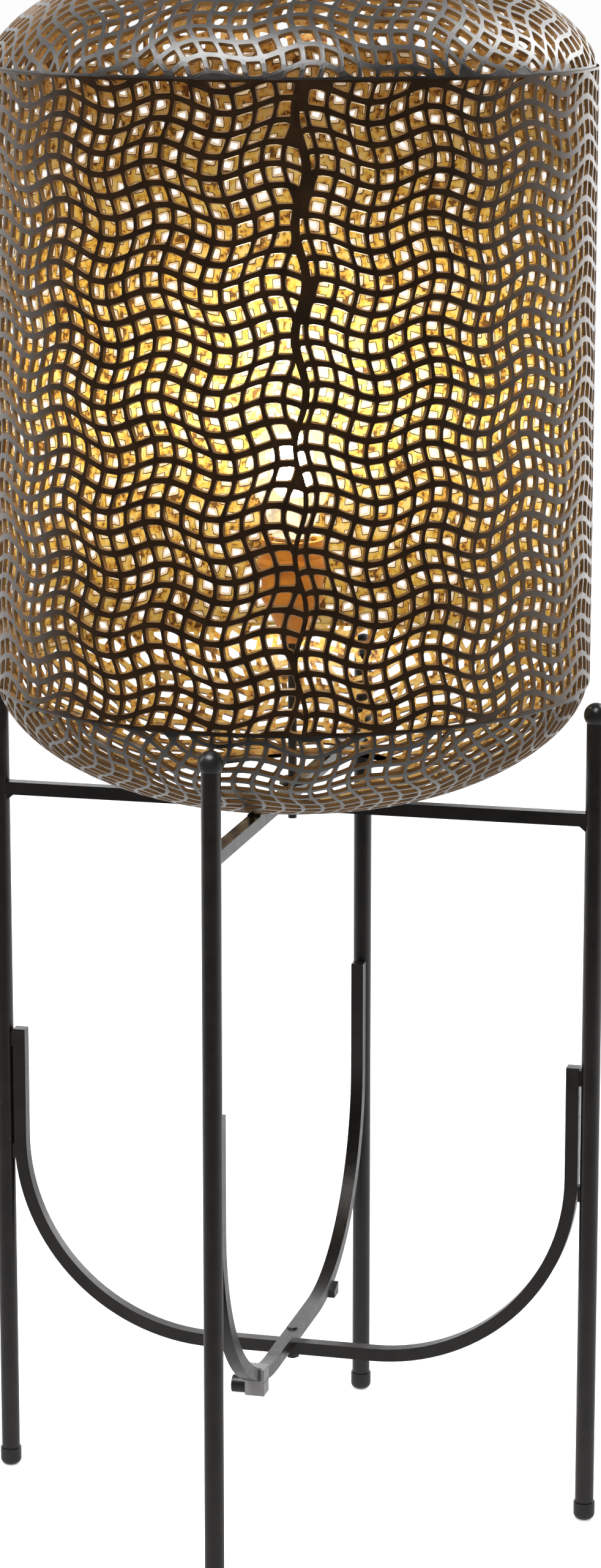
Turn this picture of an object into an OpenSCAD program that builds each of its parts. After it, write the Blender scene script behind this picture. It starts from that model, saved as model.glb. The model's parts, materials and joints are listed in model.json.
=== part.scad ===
// Floor lantern: a pierced drum with domed ends, carried between four tube legs on crossed bars.
// Origin on the floor under the drum's axis, +Z up, +X towards the right leg, -Y towards the front leg.

/* [Drum] */
// Outside radius of the drum
shade_r = 203; // [170:1:240]
// Height of the drum between its two seams
drum_h = 412; // [340:1:480]
// Drop of the lower domed end, from its seam to its opening
dome_h = 74.5; // [64:0.5:84]
// Rise of the upper domed end
top_dome_h = 67.5; // [58:0.5:80]
// Radius of the round opening in each domed end
end_hole_r = 100; // [88:1:112]
// Sheet thickness
sheet = 1.2; // [1:0.1:1.6]
// Direction of the front seam, from +X
seam_turn = -74.2; // [-80:0.1:-60]

/* [Wave pattern] */
// Cells round half of the drum
half_cells = 21; // [16:1:24]
// Rows of cells up the drum
drum_rows = 14; // [11:1:16]
// Cells in one wave
wave_cells = 5; // [4:1:8]
// Width of the bars between cells
web = 7.4; // [6.4:0.1:8.4]
// Height of a wave from trough to crest
wave_h = 12; // [0:0.5:14]
// Sideways sway of the upright bars
sway = 4; // [0:0.2:5]

/* [Stand] */
// Outside diameter of a leg tube
leg_d = 13; // [12:0.5:15]
// Wall of a leg tube
leg_wall = 1.4; // [1.2:0.1:2]
// Height of the leg tubes' top ends
leg_top = 574; // [545:1:620]
// Gap between the drum and a leg
leg_gap = 1.5; // [1:0.5:8]
// Side of the square bars
bar = 9; // [8:0.5:10]
// Height of the underside of the lower crossbar
cross_z = 499; // [470:1:520]
// Height of the underside of the lower hoop
hoop_z = 104.5; // [90:0.5:130]
// Height of the hoops' upper ends over the underside of each
hoop_rise = 224.5; // [200:0.5:250]
// Corner radius of a hoop, on its centre line
hoop_corner = 140; // [120:1:150]
// Gap between a hoop and a leg, which the welds fill
hoop_gap = 1; // [0.8:0.1:2]

/* [Lamp] */
// Height of the bulb's centre over the crossbars
bulb_up = 220; // [205:1:240]
// Radius of the bulb
bulb_r = 30; // [27:0.5:32.5]
// Outside radius of the lamp holder
holder_r = 21; // [18.5:0.5:22]
// Clearance of the bulb's cap in the holder's sleeve
screw_fit = 0.3; // [0.3:0.05:0.5]

/* [Hidden] */
$fa = 4;
$fs = 0.4;

black = [0.13, 0.12, 0.11];
grey = [0.62, 0.62, 0.62];
brass = [0.75, 0.6, 0.3];
fit = 0.05;                       // clearance of parts pushed or pinned together
rest_gap = 0.3;                   // clearance between pieces that move apart
leg_r = leg_d / 2;
tab_h = 1;                        // lift of the shade over the upper crossbar
leg_circle = shade_r + leg_gap + leg_r;
cross_top = cross_z + 2 * bar;    // top of the upper crossbar
seam_z = cross_top + tab_h + dome_h;
top_z = seam_z + drum_h;
stem_r = 3;
collar_h = 5;
drum_margin = collar_h + wave_h / 2 + 1.5 - web / 2; // from an edge to the middle line of the first cells
edge_turn = 1;                    // plain strip beside each upright seam, in degrees
cell_turn = (180 - 2 * edge_turn) / half_cells;
cell_h = (drum_h - 2 * drum_margin) / drum_rows;
cell_w = shade_r * cell_turn * PI / 180;
dome_out = shade_r - sheet - 0.6;  // outside radius of a domed end at its seam, inside the drum's edge
foot_r = 7.5;
foot_h = 13;
foot_floor = 3;
cap_r = 8.5;
leg_turns = [-90, 0, 90, 180];    // front, right, back, left

// ---- pierced drum ----

// Where the bars cross, across and up from the drum's first corner
function fade(i) = min(1, i / 3, (half_cells - i) / 3);
function cross_x(i, j) = i * cell_w + sway * fade(i) * sin(360 * j / 9 + 40);
function cross_up(i, j) = j * cell_h + wave_h / 2 * cos(360 * (i + 0.5) / wave_cells)
  + 1.2 * sin(360 * j / 9);

module drum_cell(i, j) {
  mid = (i + 0.5) * cell_w;
  b = web / 2;
  rotate([0, 0, edge_turn + (i + 0.5) * cell_turn])
    translate([shade_r - 6, 0, drum_margin])
      rotate([90, 0, 90])
        linear_extrude(height = 10)
          polygon([
            [cross_x(i, j) - mid + b, cross_up(i, j) + b],
            [cross_x(i + 1, j) - mid - b, cross_up(i + 1, j) + b],
            [cross_x(i + 1, j + 1) - mid - b, cross_up(i + 1, j + 1) - b],
            [cross_x(i, j + 1) - mid + b, cross_up(i, j + 1) - b]
          ]);
}

module half_drum(turn) {
  color(black) translate([0, 0, seam_z]) rotate([0, 0, turn])
    difference() {
      rotate_extrude(angle = 180) translate([shade_r - sheet, 0]) square([sheet, drum_h]);
      for (i = [0 : half_cells - 1]) for (j = [0 : drum_rows - 1]) drum_cell(i, j);
    }
}
module drum_right() half_drum(seam_turn);
module drum_left() half_drum(seam_turn + 180);

// Flat strip behind an upright seam, which joins the two half sheets
module seam_strap(turn) {
  wide = 1.8;
  r = shade_r - sheet - fit;
  color(black)
    translate([0, 0, seam_z + collar_h + 1]) rotate([0, 0, turn - wide / 2])
      rotate_extrude(angle = wide) translate([r - sheet, 0]) square([sheet, drum_h - 2 * (collar_h + 1)]);
}
module seam_strap_front() seam_strap(seam_turn);
module seam_strap_back() seam_strap(seam_turn + 180);

// ---- domed ends ----

dome_bulge = 1.72;                // 2 would be an ellipse, 1 a cone
dome_steps = 10;
dome_rows = 4;
dome_cells = [42, 42, 35, 28];
flat_r = 0.6 * end_hole_r;        // where the curve of the end would come level
end_t = acos(pow((end_hole_r - flat_r) / (dome_out - flat_r), dome_bulge / 2));
// Height to which the curve of an end would rise, from the height h of its opening
function full(h) = h / pow(sin(end_t), 2 / dome_bulge);
function dome_r(t, in) = flat_r + (dome_out - in - flat_r) * pow(cos(t), 2 / dome_bulge);
function dome_z(t, in, h) = (full(h) - in) * pow(sin(t), 2 / dome_bulge);
// Turns t chosen so that the rows come out about evenly high
function dome_t(k) = 2 + (end_t - 3.5) * pow(k / dome_rows, 0.8);

// Outline of the sheet, seam at height 0, with an inner collar
module dome_profile(h) {
  n = dome_steps;
  far = end_t + 6;
  out = [for (k = [0 : n]) [dome_r(far * k / n, 0), dome_z(far * k / n, 0, h)]];
  in = [for (k = [n : -1 : 0]) [dome_r(far * k / n, sheet), dome_z(far * k / n, sheet, h)]];
  polygon(concat([[dome_out - sheet, -collar_h], [dome_out, -collar_h]], out, in));
}

module dome_cell(k, i, n, dome_up) {
  t = (dome_t(k) + dome_t(k + 1)) / 2;
  w = dome_r(t, 0) * 2 * PI / n;
  low = [dome_r(dome_t(k), 0), dome_z(dome_t(k), 0, dome_up)];
  high = [dome_r(dome_t(k + 1), 0), dome_z(dome_t(k + 1), 0, dome_up)];
  h = norm(high - low);
  mid = [dome_r(t, 0), dome_z(t, 0, dome_up)];
  lean = atan2(low[0] - high[0], high[1] - low[1]);
  b = web / 2;
  rise = wave_h / 8 * cos(360 * i / wave_cells);
  rise_next = wave_h / 8 * cos(360 * (i + 1) / wave_cells);
  shear = sway / 4;
  rotate([0, 0, (i + 0.5) * 360 / n])
    translate([mid[0], 0, mid[1]]) rotate([0, -lean, 0]) rotate([90, 0, 90])
      translate([0, 0, -6]) linear_extrude(height = 12)
        polygon([
          [-w / 2 + b - shear, -h / 2 + b + rise],
          [w / 2 - b - shear, -h / 2 + b + rise_next],
          [w / 2 - b + shear, h / 2 - b + rise_next],
          [-w / 2 + b + shear, h / 2 - b + rise]
        ]);
}

// Domed end with its seam at height 0 and its round opening up, at height h
module dome(h) {
  color(black) difference() {
    rotate_extrude() dome_profile(h);
    translate([0, 0, h - 12]) cylinder(r = end_hole_r, h = 40);
    for (k = [0 : dome_rows - 1]) for (i = [0 : dome_cells[k] - 1]) dome_cell(k, i, dome_cells[k], h);
  }
}
module dome_bottom() translate([0, 0, seam_z]) rotate([180, 0, 0]) dome(dome_h);
module dome_top() translate([0, 0, top_z]) dome(top_dome_h);

// ---- legs ----

module leg(turn) {
  color(black) rotate([0, 0, turn]) translate([leg_circle, 0, foot_floor])
    difference() {
      cylinder(r = leg_r, h = leg_top - foot_floor);
      translate([0, 0, -1]) cylinder(r = leg_r - leg_wall, h = leg_top - foot_floor + 2);
    }
}
module leg_front() leg(leg_turns[0]);
module leg_right() leg(leg_turns[1]);
module leg_back() leg(leg_turns[2]);
module leg_left() leg(leg_turns[3]);

// Ball cap pushed over the top of a leg
module cap(turn) {
  color(black) rotate([0, 0, turn]) translate([leg_circle, 0, leg_top])
    difference() {
      translate([0, 0, 1.5]) sphere(r = cap_r);
      translate([0, 0, -10]) cylinder(r = leg_r + fit, h = 10);
    }
}
module cap_front() cap(leg_turns[0]);
module cap_right() cap(leg_turns[1]);
module cap_back() cap(leg_turns[2]);
module cap_left() cap(leg_turns[3]);

// Round-bottomed glide pushed over the foot of a leg
module foot(turn) {
  corner = 5;
  color(black) rotate([0, 0, turn]) translate([leg_circle, 0, 0])
    difference() {
      rotate_extrude() {
        square([foot_r - corner, foot_h]);
        translate([0, corner]) square([foot_r, foot_h - corner]);
        intersection() {
          translate([foot_r - corner, corner]) circle(r = corner);
          square([foot_r, foot_h]);
        }
      }
      translate([0, 0, foot_floor]) cylinder(r = leg_r + fit, h = foot_h);
    }
}
module foot_front() foot(leg_turns[0]);
module foot_right() foot(leg_turns[1]);
module foot_back() foot(leg_turns[2]);
module foot_left() foot(leg_turns[3]);

// ---- crossbars and hoops ----

bar_reach = leg_circle - sqrt(leg_r * leg_r - bar * bar / 4);

module crossbar(turn, z) {
  color(black) rotate([0, 0, turn]) translate([0, 0, z])
    difference() {
      translate([-bar_reach, -bar / 2, 0]) cube([2 * bar_reach, bar, bar]);
      for (side = [-1, 1]) translate([side * leg_circle, 0, -1]) cylinder(r = leg_r + fit, h = bar + 2);
      translate([0, 0, -1]) cylinder(r = stem_r + fit, h = bar + 2);
    }
}
module crossbar_lower() crossbar(0, cross_z);
module crossbar_upper() crossbar(90, cross_z + bar);

hoop_half = leg_circle - leg_r - hoop_gap - bar / 2;

// U shape of a hoop: half width w and corner radius r of one edge, from height low up to high
module u_shape(w, r, low, high) {
  translate([-w, low + r]) square([2 * w, high - low - r]);
  translate([-w + r, low]) square([2 * (w - r), r + 1]);
  for (side = [-1, 1]) translate([side * (w - r), low + r]) circle(r = r);
}

module hoop(turn, z) {
  color(black) rotate([0, 0, turn]) translate([0, 0, z])
    difference() {
      translate([0, bar / 2, 0]) rotate([90, 0, 0]) linear_extrude(height = bar)
        difference() {
          u_shape(hoop_half + bar / 2, hoop_corner + bar / 2, 0, hoop_rise);
          u_shape(hoop_half - bar / 2, hoop_corner - bar / 2, bar, hoop_rise + 200);
        }
      translate([0, 0, -1]) cylinder(r = 2.5, h = bar + 2);
    }
}
module hoop_lower() hoop(0, hoop_z);
module hoop_upper() hoop(90, hoop_z + bar);

// Short welds between a hoop's upright and its leg, near both ends of the run
module hoop_welds() {
  long = 11;
  from = hoop_half + bar / 2;
  color(black) for (k = [0 : 3]) rotate([0, 0, leg_turns[k]])
    for (up = [hoop_corner + bar / 2 - 16, hoop_rise - long - 2])
      difference() {
        translate([from, -3, hoop_z + (k % 2 == 0 ? bar : 0) + up]) cube([hoop_gap + 1, 6, long]);
        translate([leg_circle, 0, hoop_z]) cylinder(r = leg_r + fit / 2, h = hoop_rise + 40);
      }
}

// Fillet welds under each end of the crossbars
module crossbar_welds() {
  leg_in = leg_circle - leg_r;
  color(black) for (k = [0 : 3]) rotate([0, 0, leg_turns[k]])
    difference() {
      translate([leg_in - 4, 3, cross_z + (k % 2 == 0 ? bar : 0)]) rotate([90, 0, 0])
        linear_extrude(height = 6) polygon([[0, 0], [6, 0], [6, -5]]);
      translate([leg_circle, 0, cross_z - 10]) cylinder(r = leg_r + fit / 2, h = 40);
    }
}

// Tabs on the upper crossbar that carry the rim of the lower opening and centre it
module rest_tabs() {
  color(black) for (k = [0, 2]) rotate([0, 0, leg_turns[k]]) translate([0, 0, cross_top]) {
    translate([end_hole_r - 8, -bar / 2, 0]) cube([12, bar, tab_h]);
    intersection() {
      translate([end_hole_r - 8, -bar / 2, 0]) cube([12, bar, tab_h + 3]);
      cylinder(r = end_hole_r - 0.2, h = 40);
    }
  }
}

// Screw and nut that pin the two hoops where they cross
module hoop_screw() {
  color(black) translate([0, 0, hoop_z]) {
    translate([0, 0, 2 * bar]) cylinder(r1 = 4.4, r2 = 3.6, h = 1.2);
    translate([0, 0, -4]) cylinder(r = 2.5 - fit, h = 2 * bar + 4.6);
  }
}
module hoop_nut() {
  color(black) translate([0, 0, hoop_z - 3.2])
    difference() {
      cylinder(r = 4.6, h = 3.2, $fn = 6);
      translate([0, 0, -1]) cylinder(r = 2.5 - fit + fit / 2, h = 6);
    }
}

// Clamp round the front of the upper hoop with a round pad beside it, and a plain block under its back
clamp_y = 101;
clamp_tall = 19;
pad_r = 6;
hoop_arc_y = hoop_half - hoop_corner;
function hoop_low(y) = hoop_z + bar + hoop_corner + bar / 2
  - sqrt(pow(hoop_corner + bar / 2, 2) - pow(y - hoop_arc_y, 2));
clamp_low = hoop_low(clamp_y) - 8.5;

module clamp_front() {
  far = clamp_y + 6.5;
  color(grey)
    difference() {
      translate([-bar / 2 - 2, -far, clamp_low]) cube([bar + 4.5, 13, clamp_tall]);
      // the hoop's own space
      translate([bar / 2 + fit, 0, hoop_z + bar]) rotate([90, 0, -90])
        linear_extrude(height = bar + 2 * fit)
          difference() {
            u_shape(hoop_half + bar / 2 + fit, hoop_corner + bar / 2 + fit, -fit, hoop_rise);
            u_shape(hoop_half - bar / 2 - fit, hoop_corner - bar / 2 - fit, bar + fit, hoop_rise + 200);
          }
      // the joint between the saddle and its strap
      translate([bar / 2 + 1.8, -far - 1, clamp_low + 9.2]) cube([4, 15, 0.7]);
    }
}
module clamp_pad_front() {
  color(black) translate([-bar / 2 - 2, -clamp_y, clamp_low + 5.5]) rotate([0, -90, 0])
    cylinder(r = pad_r, h = 10);
}
module clamp_back() {
  near = clamp_y - 6.5;
  color(black)
    difference() {
      translate([-bar / 2, near, clamp_low + 1.4]) cube([bar + 3, 12, clamp_tall]);
      translate([bar + 5, 0, hoop_z + bar]) rotate([90, 0, -90])
        linear_extrude(height = 2 * bar + 10)
          u_shape(hoop_half + bar / 2 + fit, hoop_corner + bar / 2 + fit, -fit, hoop_rise);
    }
}

// ---- stem and fixings through the crossing ----

holder_drop = 86;                 // from the bulb's centre down to the joint of base and shell
base_h = 35;
joint_z = cross_top + bulb_up - holder_drop;
holder_z = joint_z - base_h;
module stem() {
  color(black) translate([0, 0, cross_z - 6]) cylinder(r = stem_r, h = holder_z - cross_z + 6 + 4);
}
module hex_nut(z, across, h) {
  color(black) translate([0, 0, z])
    difference() {
      cylinder(r = across / 2 / cos(30), h = h, $fn = 6);
      translate([0, 0, -1]) cylinder(r = stem_r + fit, h = h + 2);
    }
}
module stem_nut() hex_nut(cross_z - 3, 8, 3);
module spread_washer() {
  color(black) translate([0, 0, cross_top])
    difference() {
      cylinder(r = 9, h = 1.5);
      translate([0, 0, -1]) cylinder(r = stem_r + fit, h = 4);
    }
}
module stem_locknut() hex_nut(cross_top + 1.5, 10, 4);

// ---- lamp holder ----

sleeve_r = 13.1 + screw_fit;
module holder_base() {
  color(black) translate([0, 0, holder_z])
    difference() {
      rotate_extrude() polygon([[0, 0], [7, 0], [8.5, 2], [9.5, 8], [13, 16], [holder_r - 4, 23],
        [holder_r, 30], [holder_r, base_h], [holder_r - 2.5, base_h], [holder_r - 2.5, 31],
        [holder_r - 6.5, 25], [8, 16], [8, 8], [0, 8]]);
      translate([0, 0, -1]) cylinder(r = stem_r + fit, h = 10);
    }
}
module holder_shell() {
  color(black) translate([0, 0, joint_z])
    rotate_extrude() {
      translate([holder_r - 2, 0]) square([2, 36]);
      translate([holder_r - 4, 33.5]) square([3, 2.5]);
    }
}
module holder_collar() {
  color(black) translate([0, 0, joint_z + 16])
    rotate_extrude() translate([holder_r + fit, 0]) polygon([[0, 0], [2.2, 0.8], [3, 3], [3, 5], [2.2, 7], [0, 8]]);
}
module holder_insulator() {
  color([0.9, 0.88, 0.82]) translate([0, 0, joint_z])
    difference() {
      union() {
        cylinder(r = holder_r - 2 - fit, h = 6);
        cylinder(r = 15.2, h = 8.5);
      }
      translate([0, 0, -1]) cylinder(r = 2.2, h = 12);
    }
}
module holder_contact() {
  color(brass) translate([0, 0, joint_z]) {
    cylinder(r = 2.2 - fit, h = 9);
    translate([0, 0, 8.5]) cylinder(r = 4, h = 0.8);
  }
}
module holder_sleeve() {
  color(brass) translate([0, 0, joint_z + 8.5])
    rotate_extrude() {
      translate([sleeve_r, 0]) square([0.6, 24]);
      translate([sleeve_r - 2.5, 0]) square([3, 0.8]);
    }
}

// ---- bulb ----

tip_z = joint_z + 9.3 + rest_gap;
glass_z = cross_top + bulb_up;
module bulb_contact() {
  color(brass) translate([0, 0, tip_z]) cylinder(r1 = 3.4, r2 = 4.5, h = 1.6);
}
module bulb_insulator() {
  color([0.05, 0.05, 0.05]) translate([0, 0, tip_z + 1.6]) cylinder(r1 = 6, r2 = 10, h = 4);
}
module bulb_cap() {
  color([0.75, 0.75, 0.73]) translate([0, 0, tip_z + 5.6])
    rotate_extrude() {
      polygon([[0, 0], [10, 0], [13.1, 3], [13.1, 19.5], [12.3, 20], [12.3, 22.5], [0, 22.5]]);
    }
}
// Neck and globe of clear glass, about a centre at glass_z
module bulb_glass() {
  wall = 0.8;
  base = tip_z + 28.1 - glass_z;
  neck = 13.6;
  side = [for (a = [-34 : 8 : 86]) [bulb_r * cos(a), bulb_r * sin(a)]];
  inner = [for (a = [86 : -8 : -34]) [(bulb_r - wall) * cos(a), (bulb_r - wall) * sin(a)]];
  color([1, 0.93, 0.75]) translate([0, 0, glass_z])
    rotate_extrude()
      polygon(concat([[0, base], [neck, base], [neck + 0.6, base + 5]], side,
        [[0, bulb_r], [0, bulb_r - wall]], inner, [[neck - 0.2, base + 5], [neck - wall, base + 1], [0, base + 1]]));
}
// Glowing body in the middle of the globe, on its stalk
module bulb_core() {
  base = tip_z + 29.1 - glass_z;
  wide = 14;
  color([1, 0.8, 0.4]) translate([0, 0, glass_z]) {
    translate([0, 0, base]) cylinder(r1 = 5, r2 = 4, h = -base - 16);
    for (side = [-1, 1]) translate([0, 0, side * 9]) sphere(r = wide);
    translate([0, 0, -9]) cylinder(r = wide, h = 18);
  }
}

drum_right();
drum_left();
seam_strap_front();
seam_strap_back();
dome_bottom();
dome_top();
leg_front();
leg_right();
leg_back();
leg_left();
cap_front();
cap_right();
cap_back();
cap_left();
foot_front();
foot_right();
foot_back();
foot_left();
crossbar_lower();
crossbar_upper();
hoop_lower();
hoop_upper();
hoop_welds();
crossbar_welds();
rest_tabs();
hoop_screw();
hoop_nut();
clamp_front();
clamp_pad_front();
clamp_back();
stem();
stem_nut();
spread_washer();
stem_locknut();
holder_base();
holder_shell();
holder_collar();
holder_insulator();
holder_contact();
holder_sleeve();
bulb_cap();
bulb_contact();
bulb_insulator();
bulb_glass();
bulb_core();
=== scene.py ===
import bisect
import json
import math

import bpy
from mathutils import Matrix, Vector


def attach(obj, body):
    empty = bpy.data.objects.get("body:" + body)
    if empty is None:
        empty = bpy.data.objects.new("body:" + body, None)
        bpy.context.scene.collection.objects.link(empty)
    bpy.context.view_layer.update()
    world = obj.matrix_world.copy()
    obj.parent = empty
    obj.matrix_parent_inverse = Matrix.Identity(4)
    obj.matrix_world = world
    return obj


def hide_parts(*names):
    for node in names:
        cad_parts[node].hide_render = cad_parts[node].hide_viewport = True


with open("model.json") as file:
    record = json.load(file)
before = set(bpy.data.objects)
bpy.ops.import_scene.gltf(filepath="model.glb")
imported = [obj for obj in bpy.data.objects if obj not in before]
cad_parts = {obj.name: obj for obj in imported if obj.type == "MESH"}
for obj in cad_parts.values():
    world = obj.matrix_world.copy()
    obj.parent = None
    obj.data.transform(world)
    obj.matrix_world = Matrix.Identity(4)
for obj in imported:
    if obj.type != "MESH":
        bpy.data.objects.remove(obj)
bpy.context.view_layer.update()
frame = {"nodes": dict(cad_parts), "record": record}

# ---------------------------------------------------------------- camera
TURN = math.radians(14.26)          # the camera stands this far round from the front leg
DIST = 2.789                        # from the object's axis
EYE = 1.1365                        # over the floor
PITCH = 0.2187                      # it looks down by this angle, in radians
FOCAL = 6788                        # focal length, in pixels of the photograph
PHOTO_HEIGHT = 2560                 # in pixels
OFF_AXIS = 13.5                     # the object's axis lies this many pixels off the middle
SENSOR = 36                         # along the picture's longer side, in mm

cam_data = bpy.data.cameras.new("camera")
cam = bpy.data.objects.new("camera", cam_data)
bpy.context.scene.collection.objects.link(cam)
cam.location = (DIST * math.sin(TURN), -DIST * math.cos(TURN), EYE)
cam.rotation_euler = (math.pi / 2 - PITCH, 0, TURN - math.atan(OFF_AXIS / FOCAL))
cam_data.lens = FOCAL / PHOTO_HEIGHT * SENSOR
cam_data.clip_start = 0.1
cam_data.clip_end = 60
bpy.context.scene.camera = cam

# ---------------------------------------------------------------- materials
MOTTLE = 60.0                       # scale of the mottling in every plain material
GLOSS_MOTTLE = 2.3                  # the mottling of the gloss is finer by this factor
GRAIN = 900.0                       # scale of the fine grain
GRAIN_DEPTH = 0.00008
GRAIN_STRENGTH = 0.35
CORE_FOOT = (0.716, 0.724)          # the bulb's core brightens between these heights
CORE_LIGHT = (0.4, 155.0)           # strength of its light, at its foot and at its head
GLASS_LIGHT = 1.5                   # light that the bulb's glass scatters


def material(name):
    m = bpy.data.materials.new(name)
    m.use_nodes = True
    nt = m.node_tree
    return m, nt, nt.nodes["Principled BSDF"]


def position(nt):
    return nt.nodes.new("ShaderNodeNewGeometry").outputs["Position"]


def part_of(nt, vector, axis):
    split = nt.nodes.new("ShaderNodeSeparateXYZ")
    nt.links.new(vector, split.inputs[0])
    return split.outputs[axis]


def map_range(nt, value, span, to, smooth=False):
    r = nt.nodes.new("ShaderNodeMapRange")
    if smooth:
        r.interpolation_type = "SMOOTHSTEP"
    for key, x in zip(("From Min", "From Max", "To Min", "To Max"), (*span, *to)):
        r.inputs[key].default_value = x
    nt.links.new(value, r.inputs["Value"])
    return r.outputs[0]


def noise(nt, scale, detail=4.0, rough=0.55):
    where = position(nt)
    n = nt.nodes.new("ShaderNodeTexNoise")
    n.inputs["Scale"].default_value = scale
    n.inputs["Detail"].default_value = detail
    n.inputs["Roughness"].default_value = rough
    nt.links.new(where, n.inputs["Vector"])
    return n.outputs["Fac"]


def ramp(nt, fac, stops):
    """Colour ramp. A stop's value is a colour, or one number for a grey."""
    r = nt.nodes.new("ShaderNodeValToRGB")
    e = r.color_ramp.elements
    while len(e) < len(stops):
        e.new(0.5)
    for k, (p, c) in enumerate(stops):
        e[k].position = p
        e[k].color = (*(c if isinstance(c, tuple) else (c,) * 3), 1)
    nt.links.new(fac, r.inputs["Fac"])
    return r.outputs["Color"]


def bump(nt, bsdf, height, strength, distance):
    b = nt.nodes.new("ShaderNodeBump")
    b.inputs["Strength"].default_value = strength
    b.inputs["Distance"].default_value = distance
    nt.links.new(height, b.inputs["Height"])
    nt.links.new(b.outputs["Normal"], bsdf.inputs["Normal"])


def mottled(name, dark, light, rough, metallic=0.0, spec=0.5, coat=0.0, coat_rough=None,
            spec_tint=None):
    """A colour between dark and light and a roughness between two values, in soft patches."""
    m, nt, b = material(name)
    nt.links.new(ramp(nt, noise(nt, MOTTLE), [(0.3, dark), (0.7, light)]), b.inputs["Base Color"])
    smooth, dull = rough
    patches = noise(nt, MOTTLE * GLOSS_MOTTLE, detail=3)
    nt.links.new(ramp(nt, patches, [(0.25, smooth), (0.75, dull)]), b.inputs["Roughness"])
    b.inputs["Metallic"].default_value = metallic
    b.inputs["Specular IOR Level"].default_value = spec
    b.inputs["Coat Weight"].default_value = coat
    if coat_rough is not None:
        b.inputs["Coat Roughness"].default_value = coat_rough
    if spec_tint is not None:
        b.inputs["Specular Tint"].default_value = (*spec_tint, 1)
    bump(nt, b, noise(nt, GRAIN, detail=2), GRAIN_STRENGTH, GRAIN_DEPTH)
    return m


black_paint = mottled("black_paint", (0.0075, 0.006, 0.0052), (0.0125, 0.0102, 0.0088),
                      (0.22, 0.34), spec=0.55)
end_black = mottled("end_black", (0.006, 0.006, 0.006), (0.011, 0.011, 0.011), (0.25, 0.4))
dark_steel = mottled("dark_steel", (0.01, 0.01, 0.01), (0.02, 0.019, 0.018), (0.35, 0.5))
grey_metal = mottled("grey_metal", (0.2, 0.195, 0.195), (0.26, 0.25, 0.25), (0.4, 0.55),
                     metallic=0.2)
holder_amber = mottled("holder_amber", (0.48, 0.17, 0.018), (0.66, 0.28, 0.035), (0.35, 0.5),
                       metallic=0.15)
pale = mottled("pale_insulator", (0.7, 0.68, 0.62), (0.78, 0.76, 0.7), (0.5, 0.6))
brass = mottled("brass", (0.6, 0.42, 0.16), (0.75, 0.55, 0.25), (0.25, 0.4), metallic=1.0)
cap_metal = mottled("cap_metal", (0.6, 0.6, 0.58), (0.72, 0.72, 0.7), (0.25, 0.4), metallic=1.0)
black_glass = mottled("black_glass", (0.01, 0.01, 0.01), (0.015, 0.015, 0.015), (0.1, 0.2))
sheet_out = mottled("sheet_outside", (0.007, 0.0032, 0.001), (0.019, 0.008, 0.002),
                    (0.24, 0.36), spec=0.42, coat=0.3, coat_rough=0.25, spec_tint=(1.0, 0.75, 0.55))
end_out = mottled("end_outside", (0.004, 0.0025, 0.0015), (0.009, 0.006, 0.0035), (0.34, 0.48),
                  spec=0.8, coat=0.8, coat_rough=0.4)
sheet_edge = mottled("sheet_cut_edge", (0.09, 0.042, 0.010), (0.18, 0.09, 0.024), (0.35, 0.5),
                     spec=0.4)
# painted shade: the dark line round a deep lip's bend, inside the sheet
painted_shade_rim = mottled("painted_shade_rim_inside", (0.02, 0.009, 0.003), (0.05, 0.024, 0.008), (0.35, 0.5),
                   spec=0.4)
lip_pale = mottled("pale_lip_inside", (0.62, 0.50, 0.36), (0.90, 0.84, 0.76), (0.3, 0.5),
                   metallic=0.2)

# the gold inner face: painted light of the bulb, brightest at the bulb's height, and painted shade,
# browner towards the two ends of the drum; darkened in fine random flecks
gold = mottled("gold_inside", (0.62, 0.44, 0.15), (0.78, 0.60, 0.26), (0.3, 0.5), metallic=0.4)
nt = gold.node_tree
height = map_range(nt, part_of(nt, position(nt), "Z"), (0.50, 1.06), (0.0, 1.0))
# painted light of the bulb, brightest at its height, and painted shade, darker towards both ends
painted_light_and_shade = ramp(nt, height, [(0.05, (0.52, 0.40, 0.21)), (0.25, (0.66, 0.54, 0.23)),
                         (0.45, (0.98, 0.85, 0.42)), (0.62, (0.84, 0.70, 0.29)),
                         (0.79, (0.50, 0.39, 0.18)), (0.88, (0.45, 0.29, 0.14)),
                         (1.0, (0.58, 0.45, 0.29))])
# fine flecks at random that darken the gold in places
random_flecks = ramp(nt, noise(nt, 120, detail=2, rough=0.7),
            [(0.37, (0.20, 0.11, 0.05)), (0.43, (0.74, 0.50, 0.22)), (0.50, (0.90, 0.78, 0.30)),
             (0.57, (0.95, 0.92, 0.75)), (0.66, (1.0, 1.0, 1.0))])
both = nt.nodes.new("ShaderNodeMix")
both.data_type = "RGBA"
both.blend_type = "MULTIPLY"
both.inputs["Factor"].default_value = 1.0
nt.links.new(painted_light_and_shade, both.inputs["A"])
nt.links.new(random_flecks, both.inputs["B"])
nt.links.new(both.outputs["Result"], nt.nodes["Principled BSDF"].inputs["Base Color"])

# the lit core of the bulb, whose foot is dimmer than its head
bulb_glow, nt, b = material("bulb_glow")
b.inputs["Base Color"].default_value = (1, 0.85, 0.55, 1)
nt.links.new(ramp(nt, noise(nt, 30), [(0.2, (1.0, 0.82, 0.55)), (0.8, (1.0, 0.88, 0.62))]),
             b.inputs["Emission Color"])
nt.links.new(map_range(nt, part_of(nt, position(nt), "Z"), CORE_FOOT, CORE_LIGHT),
             b.inputs["Emission Strength"])

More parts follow.
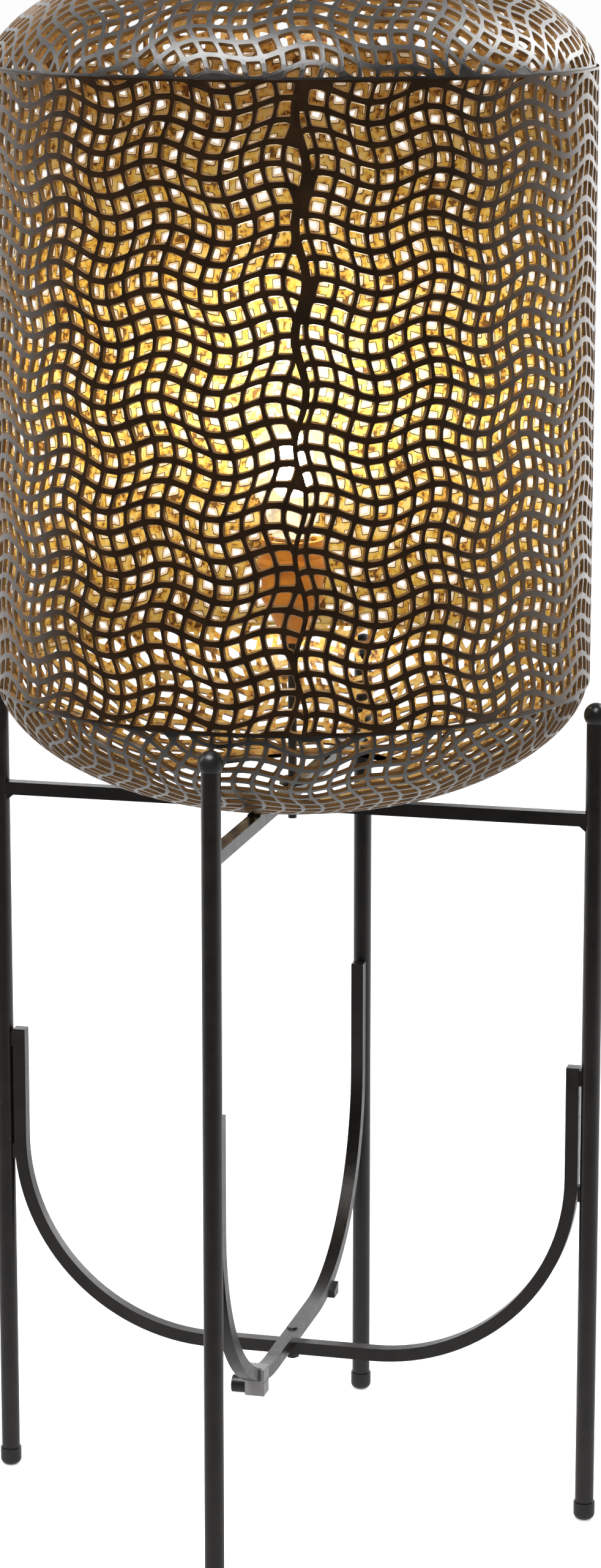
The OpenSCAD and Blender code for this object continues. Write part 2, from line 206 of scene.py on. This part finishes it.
# clear glass round it, which the light fills a little and which is thicker to the eye at its edges
clear_bulb = mottled("clear_bulb_glass", (0.012, 0.010, 0.008), (0.02, 0.017, 0.013),
                     (0.03, 0.08), spec=0.08)
nt = clear_bulb.node_tree
b = nt.nodes["Principled BSDF"]
face = nt.nodes.new("ShaderNodeLayerWeight")
face.inputs["Blend"].default_value = 0.35
nt.links.new(ramp(nt, face.outputs["Facing"], [(0.0, 0.10), (0.6, 0.16), (1.0, 0.45)]),
             b.inputs["Alpha"])
nt.links.new(ramp(nt, noise(nt, 40), [(0.2, (1.0, 0.84, 0.56)), (0.8, (1.0, 0.9, 0.66))]),
             b.inputs["Emission Color"])
b.inputs["Emission Strength"].default_value = GLASS_LIGHT

paint = {"black_paint": black_paint, "dark_sheet": sheet_out, "end_plastic": end_black,
         "grey_metal": grey_metal, "dark_steel": dark_steel, "holder_plastic": holder_amber,
         "insulator": pale, "contact_brass": brass, "cap_metal": cap_metal,
         "black_glass": black_glass, "clear_glass": clear_bulb, "lit_core": bulb_glow}
slots = {s["node"]: s["material_slot"] for s in frame["record"]["subparts"]}
for name, o in frame["nodes"].items():
    o.data.materials.clear()
    o.data.materials.append(black_paint if name == "hoop_screw" else paint[slots[name]])

# ---------------------------------------------------------------- the pierced sheet
R = 0.203                           # outside radius of the drum
SHEET = 0.0022                      # depth of the pierced sheet with the lips of its cells
SEAM = 0.5925                       # height of the lower seam
DRUM = 0.412                        # height of the drum
END_R = 0.2012                      # outside radius of a domed end at its seam, inside the drum
BULGE = 1.72                        # of a domed end: 2 would be an ellipse, 1 a cone
FLAT = 0.060                        # a domed end's curve would come level at this radius
DROP = 0.0799                       # of the lower end, from its seam to where it would be level
RISE = 0.0722                       # the same of the upper end
HOLE_R = 0.100                      # opening of each domed end
FRONT = math.radians(-75.74)        # direction of the camera, from +X
SEAM_X = 0.0052                     # where the front seam lies, along the drum's sheet
HALF = math.pi * R                  # width of half the drum's sheet
EDGE = 0.0016                       # plain strip beside a seam

# one cell: points round it as shares of its half width and half height
CELL = [(-1, -1), (-0.45, -1), (0.45, -1), (1, -1), (1, -0.45), (1, 0.45),
        (1, 1), (0.45, 1), (-0.45, 1), (-1, 1), (-1, 0.45), (-1, -0.45)]
HOLE = [(0.93 * a, 0.93 * b) if abs(a) == abs(b) else (a, b) for a, b in CELL]
LEAST_CELL = 1e-7                   # a cell of less area isn't made
LEAST_HOLE = 1.8e-5                 # a hole of less area is filled
DEEP_LIP = 0.2                      # a lip that shuts more of its cell than this shows its bend
RIMS = (0.0022, 0.0016)             # the bend's dark line of painted shade and its pale edge begin this far out

OUTSIDE, INSIDE, CUT, PAINTED_SHADE_RIM, PALE_LIP = range(5)       # the materials of a sheet


class Sheet:
    """Gathers the outer face, the inner face and the cut edges of a pierced sheet."""

    def __init__(self, place, clamp, lip):
        self.place = place           # (x, z, depth) on the flat sheet -> point in space
        self.clamp = clamp           # (x, z, margin) -> the point moved inside the sheet
        self.lip = lip               # (x) -> each lip closes its cell by this share of a cell
        self.v, self.f, self.m = [], [], []

    def points(self, flat, depth):
        n = len(self.v)
        self.v += [self.place(x, z, depth) for x, z in flat]
        return n

    def cell(self, lattice, u, v, web_u, web_v):
        """Sheet of one cell of the lattice, with its hole if enough of it lies on the sheet."""
        def opening(shut):
            wide, tall = 1 - web_u - shut, 1 - web_v - shut
            return [self.clamp(*lattice(u + 0.5 + a * 0.5 * wide, v + 0.5 + b * 0.5 * tall), EDGE)
                    for a, b in HOLE]
        outer = [self.clamp(*lattice(u + 0.5 + a * 0.5, v + 0.5 + b * 0.5), 0.0) for a, b in CELL]
        if area(outer) < LEAST_CELL:
            return
        hole = opening(0)
        oo, io = self.points(outer, 0), self.points(outer, SHEET)
        k = len(CELL)
        if area(hole) < LEAST_HOLE:
            self.f += [tuple(range(oo, oo + k)), tuple(reversed(range(io, io + k)))]
            self.m += [OUTSIDE, INSIDE]
            return
        shut = 2 * self.lip(outer[0][0])
        deep = shut > DEEP_LIP
        lip = opening(shut)
        oh, ih = self.points(hole, 0), self.points(lip, SHEET)
        rings, kinds = [io], [INSIDE]
        if deep:                     # seen from within, its bend is pale with a dark line of painted shade round it
            for far in RIMS:
                rim = [self.clamp(x + far * side(c), z + far * side(d), EDGE / 2)
                       for (x, z), (c, d) in zip(lip, HOLE)]
                rings.append(self.points(rim, SHEET))
            kinds += [PAINTED_SHADE_RIM, PALE_LIP]
        rings.append(ih)
        for a in range(k):
            c = (a + 1) % k
            self.f += [(oo + a, oo + c, oh + c, oh + a), (oh + a, oh + c, ih + c, ih + a)]
            self.m += [OUTSIDE, OUTSIDE if deep else CUT]
            for (p, q), kind in zip(zip(rings, rings[1:]), kinds):
                self.f.append((p + c, p + a, q + a, q + c))
                self.m.append(kind)

    def build(self, name, outside, *nodes):
        me = bpy.data.meshes.new(name)
        me.from_pydata(self.v, [], self.f)
        for mat in (outside, gold, sheet_edge, painted_shade_rim, lip_pale):
            me.materials.append(mat)
        me.polygons.foreach_set("material_index", self.m)
        me.validate()
        o = bpy.data.objects.new(name, me)
        bpy.context.scene.collection.objects.link(o)
        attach(o, "stand")
        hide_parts(*nodes)


def side(a):
    """How far a rim reaches on one side of a cell: more on the low side, where the painted shade is
    thicker.
    """
    return a * (1.15 if a < 0 else 0.85)


def area(p):
    return abs(sum(p[i - 1][0] * p[i][1] - p[i][0] * p[i - 1][1] for i in range(len(p)))) / 2


def wave(x0, px, ax, tx, fx, z0, pz, az, tz, fz):
    """A square lattice whose lines sway, in metres on the flat sheet.

    Each way has its start, the pitch of its cells, its sway, the sway's length in cells and
    the sway's phase.
    """
    def at(u, v):
        return (x0 + px * u + ax * math.sin(2 * math.pi * v / tx + fx),
                z0 + pz * v + az * math.sin(2 * math.pi * u / tz + fz))
    return at


# ---------------------------------------------------------------- the drum
left_lattice = wave(0.01242, 0.01329, 0.00476, 5.589, 0.361,
                    0.60259, 0.01332, 0.00507, 5.946, 3.069)
right_lattice = wave(0.01207, 0.01278, 0.00355, 5.273, 1.365,
                     0.60191, 0.01313, 0.00506, 6.19, 1.464)
DRUM_WEBS = (0.185, 0.27)           # upright and level bars, as shares of a cell
NEAR = 0.3                          # the sheet within this reach of the front has shallow lips
NEAR_LIP = 0.055
FAR_LIP = 0.215
ROWS = range(-2, 33)                # of cells, with some past both ends of the sheet
SEAM_SWAY = 0.0035                  # the front seam is a wave of this size,
SEAM_WAVE = 0.0692                  # this length,
SEAM_START = 0.6019                 # this start in height
SEAM_PHASE = 1.365                  # and this phase
WIDER_BY = 0.8                      # the strip beside a seam grows by this share of itself,
WIDER_FROM = 0.78                   # from this height,
WIDER_OVER = 0.05                   # over this rise


def on_drum(x, z, depth):
    a = FRONT + x / R
    return ((R - depth) * math.cos(a), (R - depth) * math.sin(a), z)


def front_seam(z):
    """The two halves meet along a line of the right half's lattice."""
    return SEAM_X + SEAM_SWAY * math.sin(2 * math.pi * (z - SEAM_START) / SEAM_WAVE + SEAM_PHASE)


def back_seam(z):
    return SEAM_X + HALF


def drum_sheet(name, lattice, low, high, columns, *nodes):
    def clamp(x, z, m):
        z = min(max(z, SEAM + m), SEAM + DRUM - m)
        m = m * (1 + WIDER_BY * min(max((z - WIDER_FROM) / WIDER_OVER, 0), 1))
        return (min(max(x, low(z) + m), high(z) - m), z)
    s = Sheet(on_drum, clamp, lambda x: NEAR_LIP if abs(x) < NEAR else FAR_LIP)
    for u in columns:
        for v in ROWS:
            s.cell(lattice, u, v, *DRUM_WEBS)
    s.build(name, sheet_out, *nodes)


drum_sheet("drum_sheet_right", right_lattice, front_seam, back_seam, range(-2, 51), "drum_right")
drum_sheet("drum_sheet_left", left_lattice, lambda z: back_seam(z) - 2 * HALF, front_seam,
           range(-49, 2), "drum_left")

STRAP_HALF = 0.0013                 # half the width of a strap
STRAP_IN = (0.0003, 0.0010)         # its two faces, under the sheet's inner face
STRAP_GAP = 0.004                   # between a strap's end and the drum's
STRAP_STEPS = 60


def strap(name, seam, node):
    """The strip that holds the two halves together from within."""
    s = Sheet(on_drum, None, None)
    low, high = SEAM + STRAP_GAP, SEAM + DRUM - STRAP_GAP
    for k in range(STRAP_STEPS):
        z0, z1 = (low + (high - low) * j / STRAP_STEPS for j in (k, k + 1))
        flat = [(seam(z0) - STRAP_HALF, z0), (seam(z0) + STRAP_HALF, z0),
                (seam(z1) + STRAP_HALF, z1), (seam(z1) - STRAP_HALF, z1)]
        n = s.points(flat, SHEET + STRAP_IN[0])
        s.points(flat, SHEET + STRAP_IN[1])
        s.f += [(n, n + 1, n + 2, n + 3), (n + 7, n + 6, n + 5, n + 4),
                (n, n + 3, n + 7, n + 4), (n + 1, n + 5, n + 6, n + 2)]
        s.m += [OUTSIDE, INSIDE, OUTSIDE, OUTSIDE]
    s.build(name, sheet_out, node)


strap("strap_front", front_seam, "seam_strap_front")
strap("strap_back", back_seam, "seam_strap_back")

# ---------------------------------------------------------------- the domed ends
END_LIP = 0.075
END_CELLS = range(-20, 20)          # in both ways, with some past the seam
NO_REACH = 1e-6                     # nearer the axis than this a point has no direction
PROFILE_STEPS = 60


def end_profile(rise):
    """Radius and height over the seam from the opening out to the seam, and the way along it."""
    opening = math.acos(((HOLE_R - FLAT) / (END_R - FLAT)) ** (BULGE / 2))
    line, arc = [], [0.0]
    for k in range(PROFILE_STEPS + 1):
        t = opening * (1 - k / PROFILE_STEPS)
        line.append((FLAT + (END_R - FLAT) * math.cos(t) ** (2 / BULGE),
                     rise * math.sin(t) ** (2 / BULGE)))
    for (r0, h0), (r1, h1) in zip(line, line[1:]):
        arc.append(arc[-1] + math.hypot(r1 - r0, h1 - h0))
    return line, arc


def on_dome(up, profile, arc):
    def place(x, y, depth):
        flat_r = math.hypot(x, y)
        a = math.atan2(y, x)
        s = min(max(flat_r - HOLE_R, 0.0), arc[-1])
        k = min(max(bisect.bisect_right(arc, s) - 1, 0), len(arc) - 2)
        f = (s - arc[k]) / (arc[k + 1] - arc[k])
        (r0, h0), (r1, h1) = profile[k], profile[k + 1]
        n = math.hypot(r1 - r0, h1 - h0)
        r, h = r0 + f * (r1 - r0), h0 + f * (h1 - h0)
        r, h = r + (h1 - h0) / n * depth, h - (r1 - r0) / n * depth
        z = SEAM + DRUM + h if up else SEAM - h
        return (r * math.cos(a), r * math.sin(a), z)
    return place


def domed_end(name, up, lattice, webs, *nodes):
    turn = FRONT + math.pi / 2       # the lattice lies square to the front
    profile, arc = end_profile(RISE if up else DROP)
    spread = HOLE_R + arc[-1]        # radius of the end's sheet laid flat

    def clamp(x, y, m):
        r = math.hypot(x, y)
        if r < NO_REACH:
            return (HOLE_R + m, 0.0)
        q = min(max(r, HOLE_R + m), spread - m) / r
        return (x * q, y * q)
    put = on_dome(up, profile, arc)

    def place(x, y, depth):
        return put(x * math.cos(turn) - y * math.sin(turn),
                   x * math.sin(turn) + y * math.cos(turn), depth)
    s = Sheet(place, clamp, lambda x: END_LIP)
    for u in END_CELLS:
        for v in END_CELLS:
            s.cell(lattice, u, v, *webs)
    if not up:
        s.f = [tuple(reversed(f)) for f in s.f]
    s.build(name, end_out, *nodes)


dome_lattice = wave(0.003, 0.0131, 0.0045, 6, 0.4, 0.002, 0.0131, 0.0050, 6, 0.9)
domed_end("domed_end_lower", False, dome_lattice, (0.16, 0.22), "dome_bottom")
domed_end("domed_end_upper", True, dome_lattice, (0.22, 0.26), "dome_top")

# ---------------------------------------------------------------- floor, world and lights
FLOOR_HALF = 60                     # half the side of the floor
FLOOR_GLOW = 0.5                    # what the camera sees over the floor's own lit colour
SKY_DIFFUSE = 0.6                   # the world's light on the object


def maths(nt, op, a, b):
    m = nt.nodes.new("ShaderNodeMath")
    m.operation = op
    for k, x in enumerate((a, b)):
        if isinstance(x, (int, float)):
            m.inputs[k].default_value = x
        else:
            nt.links.new(x, m.inputs[k])
    return m.outputs[0]


def seen_by_camera(nt, path):
    """1 for rays from the camera, also through glass."""
    return maths(nt, "MAXIMUM", path.outputs["Is Camera Ray"], path.outputs["Is Transmission Ray"])


def fade(nt, vector, axis, span, to):
    """A soft change along one axis: to[0] at the span's low end, to[1] at its high end."""
    return map_range(nt, part_of(nt, vector, axis), span, to, smooth=True)


# a white sweep: the floor is white behind and round the object, and in mirror images it dims
# towards the unlit side of the studio
floor_mat, nt, b = material("floor")
b.inputs["Base Color"].default_value = (0.8, 0.8, 0.8, 1)
b.inputs["Roughness"].default_value = 0.9
b.inputs["Specular IOR Level"].default_value = 0.1
path = nt.nodes.new("ShaderNodeLightPath")
glow = nt.nodes.new("ShaderNodeEmission")
nt.links.new(maths(nt, "MULTIPLY", seen_by_camera(nt, path), FLOOR_GLOW), glow.inputs["Strength"])
add = nt.nodes.new("ShaderNodeAddShader")
nt.links.new(b.outputs[0], add.inputs[0])
nt.links.new(glow.outputs[0], add.inputs[1])
mirrored = nt.nodes.new("ShaderNodeEmission")
nt.links.new(fade(nt, position(nt), "Y", (-1.6, 1.0), (0.1, 1.0)), mirrored.inputs["Strength"])
mix = nt.nodes.new("ShaderNodeMixShader")
nt.links.new(path.outputs["Is Glossy Ray"], mix.inputs[0])
nt.links.new(add.outputs[0], mix.inputs[1])
nt.links.new(mirrored.outputs[0], mix.inputs[2])
nt.links.new(mix.outputs[0], nt.nodes["Material Output"].inputs["Surface"])

floor_mesh = bpy.data.meshes.new("floor")
floor_mesh.from_pydata([(-FLOOR_HALF, -FLOOR_HALF, 0), (FLOOR_HALF, -FLOOR_HALF, 0),
                        (FLOOR_HALF, FLOOR_HALF, 0), (-FLOOR_HALF, FLOOR_HALF, 0)],
                       [], [(0, 1, 2, 3)])
floor_mesh.materials.append(floor_mat)
floor = bpy.data.objects.new("floor", floor_mesh)
bpy.context.scene.collection.objects.link(floor)

world = bpy.data.worlds.new("world")
bpy.context.scene.world = world
world.use_nodes = True
wt = world.node_tree
back = wt.nodes["Background"]
back.inputs["Color"].default_value = (1, 1, 1, 1)
path = wt.nodes.new("ShaderNodeLightPath")
around = wt.nodes.new("ShaderNodeTexCoord").outputs["Generated"]
seen = seen_by_camera(wt, path)
backdrop = fade(wt, around, "Y", (-0.1, 0.85), (0.05, 1.3))     # bright behind the object
ceiling = fade(wt, around, "Z", (0.3, 0.75), (1.0, 0.22))       # dim overhead
glossy = maths(wt, "MULTIPLY", path.outputs["Is Glossy Ray"],
               maths(wt, "MULTIPLY", backdrop, ceiling))
lit = maths(wt, "MULTIPLY", path.outputs["Is Diffuse Ray"], SKY_DIFFUSE)
wt.links.new(maths(wt, "MAXIMUM", maths(wt, "MAXIMUM", seen, glossy), lit),
             back.inputs["Strength"])

LAMP_DIST = 2.4                     # from a point on the object's axis,
LAMP_HUB = 1.0                      # this high
LAMPS = (                           # name, azimuth from +X, elevation, aim's height, size, watts
    ("softbox_front", -104, 58, 1.0, (2.0, 1.4), 105),
    ("softbox_right", 42, 34, 1.0, (1.3, 1.7), 52),
    ("softbox_rim", 66, 2, 0.7, (1.4, 1.8), 9),
    ("softbox_left", 188, 20, 0.8, (0.7, 1.6), 14))
for name, azimuth, elevation, aim, size, power in LAMPS:
    a, e = math.radians(azimuth), math.radians(elevation)
    place = Vector((LAMP_DIST * math.cos(a) * math.cos(e), LAMP_DIST * math.sin(a) * math.cos(e),
                    LAMP_HUB + LAMP_DIST * math.sin(e)))
    d = bpy.data.lights.new(name, "AREA")
    d.shape = "RECTANGLE"
    d.size, d.size_y = size
    d.energy = power
    o = bpy.data.objects.new(name, d)
    bpy.context.scene.collection.objects.link(o)
    o.location = place
    o.rotation_euler = (Vector((0, 0, aim)) - place).to_track_quat("-Z", "Y").to_euler()

view = bpy.context.scene.view_settings
view.view_transform = "Standard"
